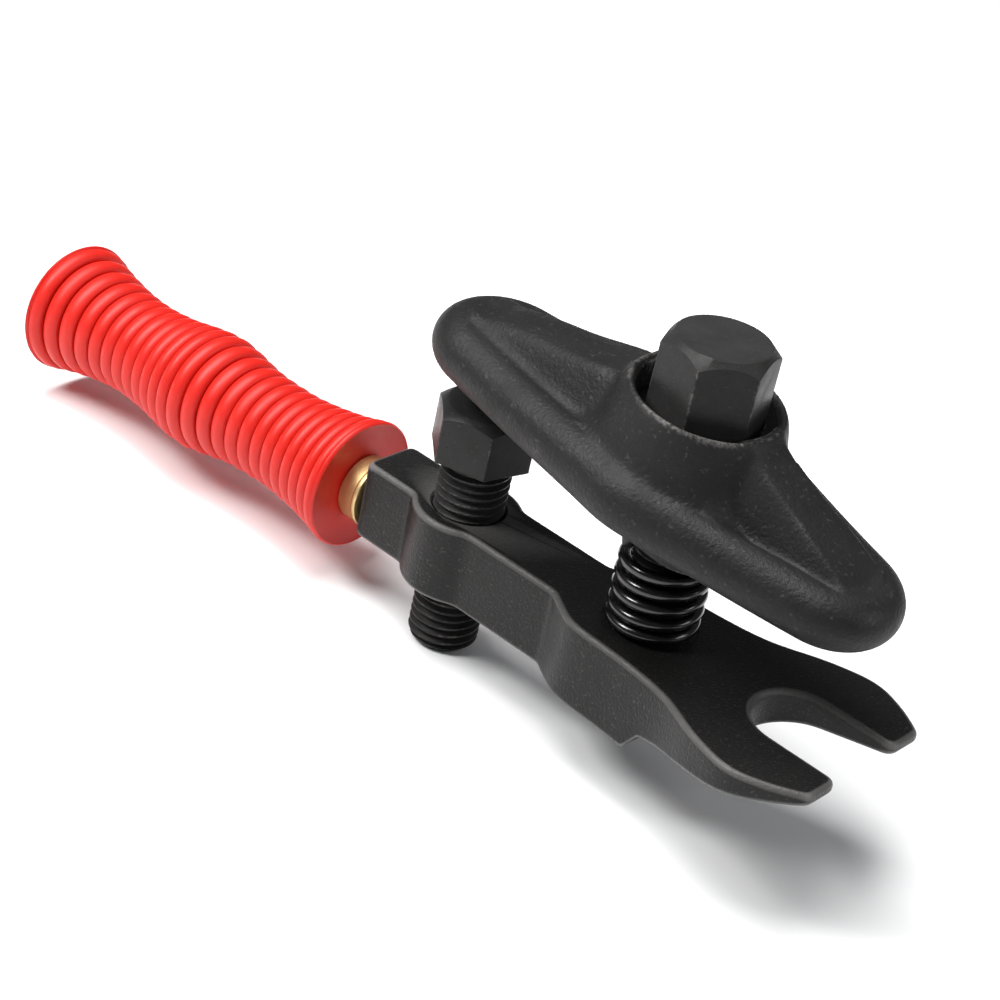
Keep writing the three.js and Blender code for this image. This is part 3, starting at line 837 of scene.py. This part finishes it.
# ---- rocker lever ----
def lever_plan():
    """The lever's outline as (centre x, radius, direction) at each point, from three circles and their tangents."""
    rear, middle, front = LEVER_REAR, LEVER_MIDDLE, LEVER_FRONT
    rear_turn = math.acos((rear[1] - middle[1]) / (middle[0] - rear[0]))
    front_turn = math.acos((middle[1] - front[1]) / (front[0] - middle[0]))
    spans = [(front, front, 0, front_turn), (front, middle, front_turn, front_turn),
             (middle, middle, front_turn, rear_turn), (middle, rear, rear_turn, rear_turn),
             (rear, rear, rear_turn, 2 * math.pi - rear_turn), (rear, middle, -rear_turn, -rear_turn),
             (middle, middle, -rear_turn, -front_turn), (middle, front, -front_turn, -front_turn),
             (front, front, -front_turn, 0)]
    rows = []
    for a, b, start, end in spans:
        length = abs(end - start) * a[1] + math.hypot(b[0] - a[0], b[1] - a[1])
        steps = max(2, int(length / 0.8))
        for t in np.arange(steps) / steps:
            rows.append((a[0] + (b[0] - a[0]) * t, a[1] + (b[1] - a[1]) * t, start + (end - start) * t))
    return np.array(rows).T


def lever_inset(x, y):
    """How far a plan point lies inside the lever's outline."""
    best = np.full(np.shape(x), 1e9)
    for turn in np.radians(np.arange(0, 360, 1.5)):
        c, s = math.cos(turn), math.sin(turn)
        reach = max(cx * c + r for cx, r in (LEVER_REAR, LEVER_MIDDLE, LEVER_FRONT))
        best = np.minimum(best, reach - x * c - y * s)
    return best


def soft_max(a, b, width):
    h = np.clip(0.5 + 0.5 * (a - b) / width, 0, 1)
    return a * h + b * (1 - h) + width * h * (1 - h)


def curve_through(x, table):
    """A smooth value at x from (x, value) pairs."""
    xs, ys = np.array(table, float).T
    slopes = np.gradient(ys, xs)
    x = np.clip(x, xs[0], xs[-1])
    i = np.clip(np.searchsorted(xs, x) - 1, 0, len(xs) - 2)
    h = xs[i + 1] - xs[i]
    t = (x - xs[i]) / h
    return ((2 * t ** 3 - 3 * t ** 2 + 1) * ys[i] + (t ** 3 - 2 * t ** 2 + t) * h * slopes[i]
            + (3 * t ** 2 - 2 * t ** 3) * ys[i + 1] + (t ** 3 - t ** 2) * h * slopes[i + 1])


# the rib's crest and half width along the lever, and the ring's height by its distance from the screw
RIB_TOP = ((-84, -30), (-75, -24), (-65, -18.9), (-54, -15.6), (-42, -12.8), (-27, -8.5), (-18, -6.2), (0, -4.5),
           (14, -3.2), (20, -4.5), (25, -7.3), (33, -10.8), (41, -13.8), (50, -17), (60, -22), (70, -29))
RIB_HALF_WIDTH = ((-84, 7.4), (-65, 7.9), (-42, 8.8), (-25, 9.8), (0, 9.5), (20, 6.9), (33, 7.2), (50, 8.1),
                  (70, 8.6))
RING_FLANK = ((0, -6.4), (17, -6.2), (18.2, -5.5), (19, -4.25), (20, -3.6), (20.9, -4.0), (21.7, -5.4), (22.3, -7.6),
              (22.9, -10.2), (23.8, -13.2), (25.2, -16.2), (27, -18.8), (29.2, -20.9), (32, -22.8), (36, -26),
              (60, -45), (90, -70))


def rim_middle(x):
    """The height of the rim's middle line, bowed up beside the ring."""
    return RIM_MIDDLE + 1.7 * np.exp(-(x / 32.0) ** 2)


def crest_height(x):
    """The rim's crest."""
    return rim_middle(x) + RIM_ROUND + 1.0 * np.exp(-(x / 27.0) ** 2)


def lever_top(x, y):
    """The lever's upper surface: rim, grooves, the rib along the middle and the ring round the cup."""
    inset = lever_inset(x, y)
    t = np.clip((inset - RIM_ROUND) / 7.5, 0, 1)
    groove = np.interp(x, (-62, -30, 30, 50), (3.6, 4.6, 4.0, 2.6))
    land = crest_height(x) - groove * (3 * t ** 2 - 2 * t ** 3)
    past = np.abs(y) - curve_through(x, RIB_HALF_WIDTH)
    softness = np.interp(x, (-40, -20, 10, 30), (0.7, 0.6, 0.5, 0.35))
    fall = softness * np.logaddexp(0, past / softness)
    slope = np.interp(x, (-40, 0, 30), (1.9, 2.2, 2.6))
    rib = curve_through(x, RIB_TOP) - slope * fall - 0.08 * np.maximum(np.abs(y) - 3, 0)
    ring = curve_through(np.hypot(x, y), RING_FLANK)
    return soft_max(soft_max(land, rib, np.interp(x, (-25, 20), (6.0, 2.6))), ring, 2.6)


def relaxed(points, faces, chosen, rounds=6):
    """Evens out the chosen points of a fine mesh, each towards the middle of its neighbours."""
    _, first, place = np.unique(np.round(points, 4), axis=0, return_index=True, return_inverse=True)
    place = place.ravel()
    spots, chosen = points[first], chosen[first]
    pairs = np.array([(place[a], place[b]) for face in faces for a, b in zip(face, (*face[1:], face[0]))])
    share = np.bincount(pairs.ravel(), minlength=len(spots))[:, None]
    for _ in range(rounds):
        total = np.zeros_like(spots)
        for a, b in (pairs.T, pairs.T[::-1]):
            np.add.at(total, a, spots[b])
        spots = np.where(chosen[:, None], 0.5 * (spots + total / share), spots)
    return spots[place]


def on_lever(point):
    """A point of the lever's own drawing as a point of the whole drawing."""
    c, s = math.cos(LEVER_TILT), math.sin(LEVER_TILT)
    x, y, z = point
    return (x * c + z * s, y, PIVOT_Z + z * c - x * s)


def make_lever():
    cx, radius, turn = lever_plan()

    def ring(inset, height):
        xy = np.column_stack((cx + (radius - inset) * np.cos(turn), (radius - inset) * np.sin(turn)))
        return np.column_stack((xy, height(xy[:, 0])))

    rings = []
    for a in np.radians(np.linspace(-90, 90, 25)):
        rings.append(ring(RIM_ROUND * (1 - math.cos(a)), lambda x, rise=math.sin(a): rim_middle(x) + rise * (
            crest_height(x) - rim_middle(x) if rise > 0 else RIM_ROUND)))
    walls = skin(rings, caps=False)
    top, bottom = rings[-1], rings[0]
    points, faces = stacked([
        walls, spanned(bottom[:, :2], bottom[:, 2], 3.0, lambda x, y: rim_middle(x) - RIM_ROUND),
        spanned(top[:, :2], top[:, 2], 0.55, lever_top)])
    place = dict(origin=(0, 0, PIVOT_Z), turn=LEVER_TILT)
    points = relaxed(points, faces, (np.abs(np.hypot(points[:, 0], points[:, 1]) - 24) < 3.4) & (points[:, 2] > -24))
    lever = solid("rocker_lever_forging", to_frame(points, **place), faces)

    low = RIM_MIDDLE - RIM_ROUND

    def upright(name, loop, z_low, z_high, edge=1.0):
        loop = np.asarray(loop, float)
        out = outward(loop)
        steps = [(edge * (1 - math.sin(a)), z_low + edge * (1 - math.cos(a))) for a in np.linspace(0, math.pi / 2, 5)]
        walls = [np.column_stack((loop - out * inset, np.full(len(loop), z))) for inset, z in [*steps, (0, z_high)]]
        points, faces = skin(walls)
        return solid(name, to_frame(points, **place), faces)

    def stadium(front, rear, radius):
        return arc(front, 0, radius, -90, 90, 24) + arc(rear, 0, radius, 90, 270, 24)

    tilt, up = LEVER_TILT, ADJUST_HEAD_TOP_Z + GAP + PAD_BALL_RADIUS - PIVOT_Z
    ball_x = ADJUST_X * math.cos(tilt) - up * math.sin(tilt)
    ball_z = ADJUST_X * math.sin(tilt) + up * math.cos(tilt)
    crown = [(r, ball_z - math.sqrt(PAD_BALL_RADIUS ** 2 - r * r)) for r in np.linspace(0, 8, 9)]
    pad = turned("rear_pad", [*crown, (8.6, crown[-1][1] + 0.8), (11, low + 1.5), (11, low + 4), (0, low + 4)],
                 origin=on_lever((ball_x, 0, 0)), turn=LEVER_TILT)
    nose_x, nose_z = LEVER_FRONT[0], low - 2.4
    nose = turned("nose_pad", rounded([(0, nose_z), (9.5, nose_z), (11, low + 1), (11, low + 4), (0, low + 4)], 0.8),
                  origin=on_lever((nose_x, 0, 0)), turn=LEVER_TILT)
    side = [(ball_x - 8, low + 4), (ball_x - 8, ball_z - 11), (ball_x + 8, ball_z - 11), (-HUB_RADIUS, 1 - HUB_DEPTH),
            (SLOT_REACH + HUB_RADIUS, 1 - HUB_DEPTH), (nose_x - 8, nose_z + 0.2), (nose_x + 8, nose_z + 0.2),
            (nose_x + 8, low + 4)]
    keel_points, keel_faces = skin([np.array([(x, y, z) for x, z in side]) for y in (-6, 6)])
    keel = solid("keel", to_frame(keel_points, **place), keel_faces)
    hub = upright("hub", stadium(SLOT_REACH, 0, HUB_RADIUS), -HUB_DEPTH, low + 4)
    combine(lever, [hub, keel, pad, nose], "UNION")

    ball = [(r, -math.sqrt(SEAT_RADIUS ** 2 - r * r)) for r in np.linspace(0, CUP_RADIUS, 20)]
    seat = turned("seat", [*ball, (CUP_RADIUS, 5), (0, 5)], sides=120, **place)
    slot = upright("slot", stadium(SLOT_REACH, 0, SLOT_RADIUS), -HUB_DEPTH - 5, -16, edge=0.1)
    combine(lever, [seat, slot], "DIFFERENCE")
    return fitted(lever, "lever", "rocker_lever", BARE_FORGING, reach=1.6, angle=60)


# ---- screws ----
def hexagon(flats, turn, rounding, count=18):
    """A hexagon's outline with slightly rounded corners, one corner at turn degrees from +X."""
    corner = flats / math.sqrt(3)
    points = []
    for k in range(6):
        at = math.radians(turn + 60 * k)
        centre = np.array((math.cos(at), math.sin(at))) * (corner - rounding / math.cos(math.pi / 6))
        for a in np.linspace(-30, 30, 7):
            b = at + math.radians(a)
            points.append(centre + rounding * np.array((math.cos(b), math.sin(b))))
        nxt = math.radians(turn + 60 * (k + 1))
        across = np.array((math.cos(nxt), math.sin(nxt))) * (corner - rounding / math.cos(math.pi / 6))
        mid = at + math.radians(30)
        side = rounding * np.array((math.cos(mid), math.sin(mid)))
        for t in np.linspace(0, 1, count)[1:-1]:
            points.append((centre + side) * (1 - t) + (across + side) * t)
    return np.array(points)


def hex_rings(flats, turn, rounding, count=18):
    """How far out each point of a hexagon is, and a function that makes rings in the same directions."""
    outline = hexagon(flats, turn, rounding, count)
    reach = np.hypot(outline[:, 0], outline[:, 1])
    way = outline / reach[:, None]

    def ring(radius, z):
        radius, z = np.broadcast_to(radius, reach.shape), np.broadcast_to(z, reach.shape)
        return np.column_stack((way * radius[:, None], z))

    return reach, ring


def hex_head(name, flats, low, high, top_radius, drop, turn, origin, low_chamfer=0.4):
    """A hexagon head: a round flat top, a turned chamfer whose edge dips at each flat, and sharp-cut flats."""
    reach, ring = hex_rings(flats, turn, 0.5)
    fall = (reach - top_radius) * drop / (reach.max() - top_radius)
    rings = [
        ring(reach - low_chamfer, low), ring(reach, low + low_chamfer),
        ring(reach, high - fall - 0.35), ring(reach - 0.06, high - fall - 0.1), ring(reach - 0.3, high - fall + 0.12),
        ring(top_radius + 0.35, high - 0.12), ring(top_radius, high - 0.02), ring(top_radius - 0.4, high),
    ]
    points, faces = skin(rings)
    return solid(name, to_frame(points, origin), faces)


def threaded(name, tree, radius, low, high, origin, chamfer=2.0, turn=0.0, pitch=SCREW_PITCH):
    """A threaded shank from low to high, twelve rows of points to each turn of the thread."""
    rows = int((high - low + pitch) / pitch * 12) + 1
    shank = grown(name, tree, {"Radius": radius, "Low end": low, "High end": high, "Pitch": pitch,
                               "Depth": 0.56 * pitch, "End chamfer": chamfer, "Sides": 73, "Rows": rows}, BLACKENED)
    return placed(shank, origin, turn, join=4e-6)


def make_force_screw(thread):
    shank = threaded("force_screw_steel", thread, FORCE_RADIUS, FORCE_LOW_Z, 50.0, (0, 0, 0))
    under, top = 49, FORCE_HEAD_LOW_Z + 0.5
    neck = turned("neck", [(0, under), (FORCE_NECK_RADIUS, under), (FORCE_NECK_RADIUS, top), (0, top)])
    head = hex_head("head", FORCE_FLATS, FORCE_HEAD_LOW_Z, FORCE_HEAD_TOP_Z, 12.1, 3.1, FORCE_HEAD_TURN, (0, 0, 0))
    joined(shank, [neck, head])
    return fitted(shank, "force_screw", "force_screw", BLACKENED, reach=0.9, angle=32)


def make_adjusting_screw(thread):
    place = (ADJUST_X, 0, 0)
    shank = threaded("adjusting_screw_steel", thread, ADJUST_RADIUS, ADJUST_LOW_Z, ADJUST_HEAD_LOW_Z + 0.8, place)
    under, top = ADJUST_HEAD_LOW_Z - 3, ADJUST_HEAD_LOW_Z + 0.5
    neck = turned("neck", [(0, under), (ADJUST_NECK_RADIUS, under), (ADJUST_NECK_RADIUS, top), (0, top)],
                  origin=place)
    head = hex_head("head", ADJUST_FLATS, ADJUST_HEAD_LOW_Z, ADJUST_HEAD_TOP_Z, 11.2, 2.5, ADJUST_HEAD_TURN, place)
    joined(shank, [neck, head])
    return fitted(shank, "adjuster", "adjusting_screw", BLACKENED, reach=0.9, angle=32)


def make_washer():
    bore, top = FORCE_RADIUS + GAP, FORCE_HEAD_LOW_Z - GAP
    ball = [(r, PIVOT_Z - math.sqrt(WASHER_BALL_RADIUS ** 2 - r * r)) for r in np.linspace(bore, WASHER_RADIUS, 12)]
    ring = rounded([*ball, (WASHER_RADIUS, top), (bore, top)], 0.3)
    washer = turned("thrust_washer_steel", [*ring, ring[0]], sides=96)
    return fitted(washer, "washer", "thrust_washer", BLACKENED, reach=0.6)


def make_spring():
    spring = grown("return_spring_wire", spring_tree(), {
        "Outside radius": SPRING_RADIUS, "Wire": SPRING_WIRE, "Pitch": SPRING_PITCH, "End angle": SPRING_END_TURN,
        "Height": SPRING_HEIGHT, "Steps": 433, "Wire sides": 24}, SPRING_BLACK)
    placed(spring)
    fitted(spring, "frame", "return_spring", SPRING_BLACK, reach=0.5, angle=50)
    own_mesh(spring)
    return spring


# ---- handle, drawn along its own Z from the tang's end face ----
HANDLE = dict(origin=(TANG_REAR_X, 0, HANDLE_Z), turn=HANDLE_TURN)


def grip_size(s):
    """The grip's radius over its beads, s behind its front end."""
    return float(np.interp(s, *np.array(GRIP_SIZE).T))


def make_grip():
    front = FERRULE_LENGTH + GAP
    rear = front + GRIP_LENGTH
    crests = [front + c for c in BEAD_CRESTS]
    edges = [2 * crests[0] - (crests[0] + crests[1]) / 2]
    edges += [(a + b) / 2 for a, b in zip(crests, crests[1:])]
    edges.append(2 * crests[-1] - edges[-1])
    start = bpy.data.meshes.new("bead_places")
    start.from_pydata([(0, 0, (a + b) / 2) for a, b in zip(edges, edges[1:])], [], [])
    sizes = [grip_size(c) for c in BEAD_CRESTS]
    widths = [(b - a) / 2 for a, b in zip(edges, edges[1:])]
    for label, values in (("crest", sizes), ("half_width", widths)):
        start.attributes.new(label, "FLOAT", "POINT").data.foreach_set("value", values)
    beads = grown("grip_plastic", bead_tree(), {"Bead height": BEAD_HEIGHT, "Sides": 97, "Rows": 17}, RED,
                  start=link("grip_plastic", start))
    placed(beads, **HANDLE)
    spigot, bore = 8.3, ROD_RADIUS + GAP
    core = [(spigot, front), (18.3, front + 0.5), (19.0, front + 0.15), (19.5, front + 0.6), (19.6, front + 1.2)]
    core += [(grip_size(s - front) * 0.855, s) for s in np.linspace(front + 1.6, rear - 1.5, 60)]
    core += [(20.2, rear - 1.2), (20.6, rear - 0.6), (20.2, rear), (GRIP_RECESS_RADIUS + 0.6, rear),
             (GRIP_RECESS_RADIUS, rear - 0.6), (GRIP_RECESS_RADIUS, rear - GRIP_RECESS_DEPTH),
             (bore, rear - GRIP_RECESS_DEPTH), (bore, front + 14.3), (spigot, front + 14.3), (spigot, front)]
    joined(beads, [turned("core", core, sides=96, **HANDLE)])
    return fitted(beads, "frame", "grip", RED, reach=1.0, angle=60)


def make_ferrule():
    bore, start, end, body = ROD_RADIUS + GAP, 2 * GAP, FERRULE_LENGTH, FERRULE_RADIUS - 0.4
    outside = rounded([(bore, start), (FERRULE_RADIUS, start), (FERRULE_RADIUS, start + 1.3), (body, start + 1.7),
                       (body, end), (8, end), (8, end + 14), (bore, end + 14)], 0.35)
    ferrule = turned("ferrule_zinc", [*outside, outside[0]], sides=96, **HANDLE)
    return fitted(ferrule, "frame", "ferrule", YELLOW_ZINC, reach=0.8)


def make_rod(thread):
    tip = GRIP_LENGTH + FERRULE_LENGTH + GAP - 3
    end = threaded("handle_rod_zinc", thread, ROD_RADIUS - 0.05, tip - 14, tip, HANDLE["origin"], chamfer=1.2,
                   turn=HANDLE_TURN, pitch=ROD_PITCH)
    shank = turned("shank", rounded([(0, 0.05), (ROD_RADIUS, 0.05), (ROD_RADIUS, tip - 12.6), (0, tip - 12.6)], 0.3),
                   **HANDLE)
    joined(end, [shank])
    return fitted(end, "frame", "handle_rod", ZINC, reach=0.8)


def make_end_washer():
    start = FERRULE_LENGTH + GAP + GRIP_LENGTH - GRIP_RECESS_DEPTH + GAP
    bore = ROD_RADIUS + GAP
    ring = rounded([(bore, start), (11.5, start), (11.5, start + 2), (bore, start + 2)], 0.3)
    washer = turned("end_washer_zinc", [*ring, ring[0]], sides=72, **HANDLE)
    return fitted(washer, "frame", "end_washer", ZINC, reach=0.6)


def make_end_nut():
    start = FERRULE_LENGTH + GAP + GRIP_LENGTH - GRIP_RECESS_DEPTH + 2 * GAP + 2
    reach, ring = hex_rings(18, 0, 0.4, 10)
    fall = np.maximum((reach - 8.7) * 1.1 / (reach.max() - 8.7), 0.05)
    bore = ROD_RADIUS + 0.2
    rings = [ring(bore, start), ring(reach - 0.5, start), ring(reach, start + fall), ring(reach, start + 8 - fall),
             ring(8.5, start + 8), ring(bore, start + 8)]
    rings.append(rings[0])
    points, faces = skin(rings, caps=False)
    nut = solid("end_nut_zinc", to_frame(points, **HANDLE), faces)
    return fitted(nut, "frame", "end_nut", ZINC, reach=0.6)


# ---- light, floor and camera ----
def studio():
    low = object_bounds()[0].z
    corners = [(x, y, low - 0.0004) for x, y in ((-6, -6), (6, -6), (6, 6), (-6, 6))]
    floor_mesh = bpy.data.meshes.new("floor")
    floor_mesh.from_pydata(corners, [], [(0, 1, 2, 3)])
    floor = link("floor", floor_mesh)
    paper = bpy.data.materials.new("pale paper")
    paper.use_nodes = True
    shader = paper.node_tree.nodes["Principled BSDF"]
    shader.inputs["Base Color"].default_value = (0.93, 0.93, 0.93, 1)
    shader.inputs["Roughness"].default_value = 0.9
    shader.inputs["Specular IOR Level"].default_value = 0.1
    # seen from below, the paper is clear
    nodes, links = paper.node_tree.nodes, paper.node_tree.links
    below = nodes.new("ShaderNodeNewGeometry").outputs["Backfacing"]
    clear, both = nodes.new("ShaderNodeBsdfTransparent"), nodes.new("ShaderNodeMixShader")
    for a, b in ((below, both.inputs[0]), (shader.outputs[0], both.inputs[1]), (clear.outputs[0], both.inputs[2]),
                 (both.outputs[0], nodes["Material Output"].inputs["Surface"])):
        links.new(a, b)
    floor_mesh.materials.append(paper)
    floor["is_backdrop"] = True

    world = bpy.data.worlds.new("studio")
    bpy.context.scene.world = world
    world.use_nodes = True
    world.node_tree.nodes["Background"].inputs["Color"].default_value = (0.9, 0.93, 1.0, 1)
    world.node_tree.nodes["Background"].inputs["Strength"].default_value = 0.12

    def softbox(name, place, aim, size, power, colour=(1, 1, 1)):
        lamp = bpy.data.lights.new(name, "AREA")
        lamp.shape, lamp.size, lamp.energy, lamp.color = "SQUARE", size, power, colour
        obj = bpy.data.objects.new(name, lamp)
        bpy.context.collection.objects.link(obj)
        obj.location = place
        obj.rotation_euler = (Vector(aim) - Vector(place)).to_track_quat("-Z", "Y").to_euler()

    middle = (-0.06, 0.0, 0.02)
    softbox("overhead", (-0.35, -0.15, 1.3), middle, 0.9, 27)
    softbox("left", (-0.47, -0.47, 0.62), middle, 0.24, 5.5)
    softbox("right", (1.2, 0.5, 0.7), middle, 0.6, 6)


def camera():
    """The viewing place: 30 degrees above the horizon, off the fork's front right."""
    right = Vector((0.72275739, 0.66571671, 0.1855883))
    down = Vector((0.46519221, -0.27003539, -0.84301667))
    ahead = Vector((-0.51109487, 0.69563076, -0.5048563))
    data = bpy.data.cameras.new("camera")
    data.sensor_width, data.lens = 36.0, 92.6675
    data.clip_start, data.clip_end = 0.01, 50.0
    obj = bpy.data.objects.new("camera", data)
    bpy.context.collection.objects.link(obj)
    turn = Matrix((right, -down, -ahead)).transposed().to_4x4()
    obj.matrix_world = Matrix.Translation((0.2740486, -0.4846721, 0.3588373)) @ turn
    bpy.context.scene.camera = obj


bpy.context.scene.view_settings.view_transform = "Standard"
camera()
screw_thread = thread_tree()
make_body()
make_lever()
make_force_screw(screw_thread)
make_adjusting_screw(screw_thread)
make_washer()
make_spring()
make_grip()
make_ferrule()
make_rod(screw_thread)
make_end_washer()
make_end_nut()
studio()

bpy.context.view_layer.update()
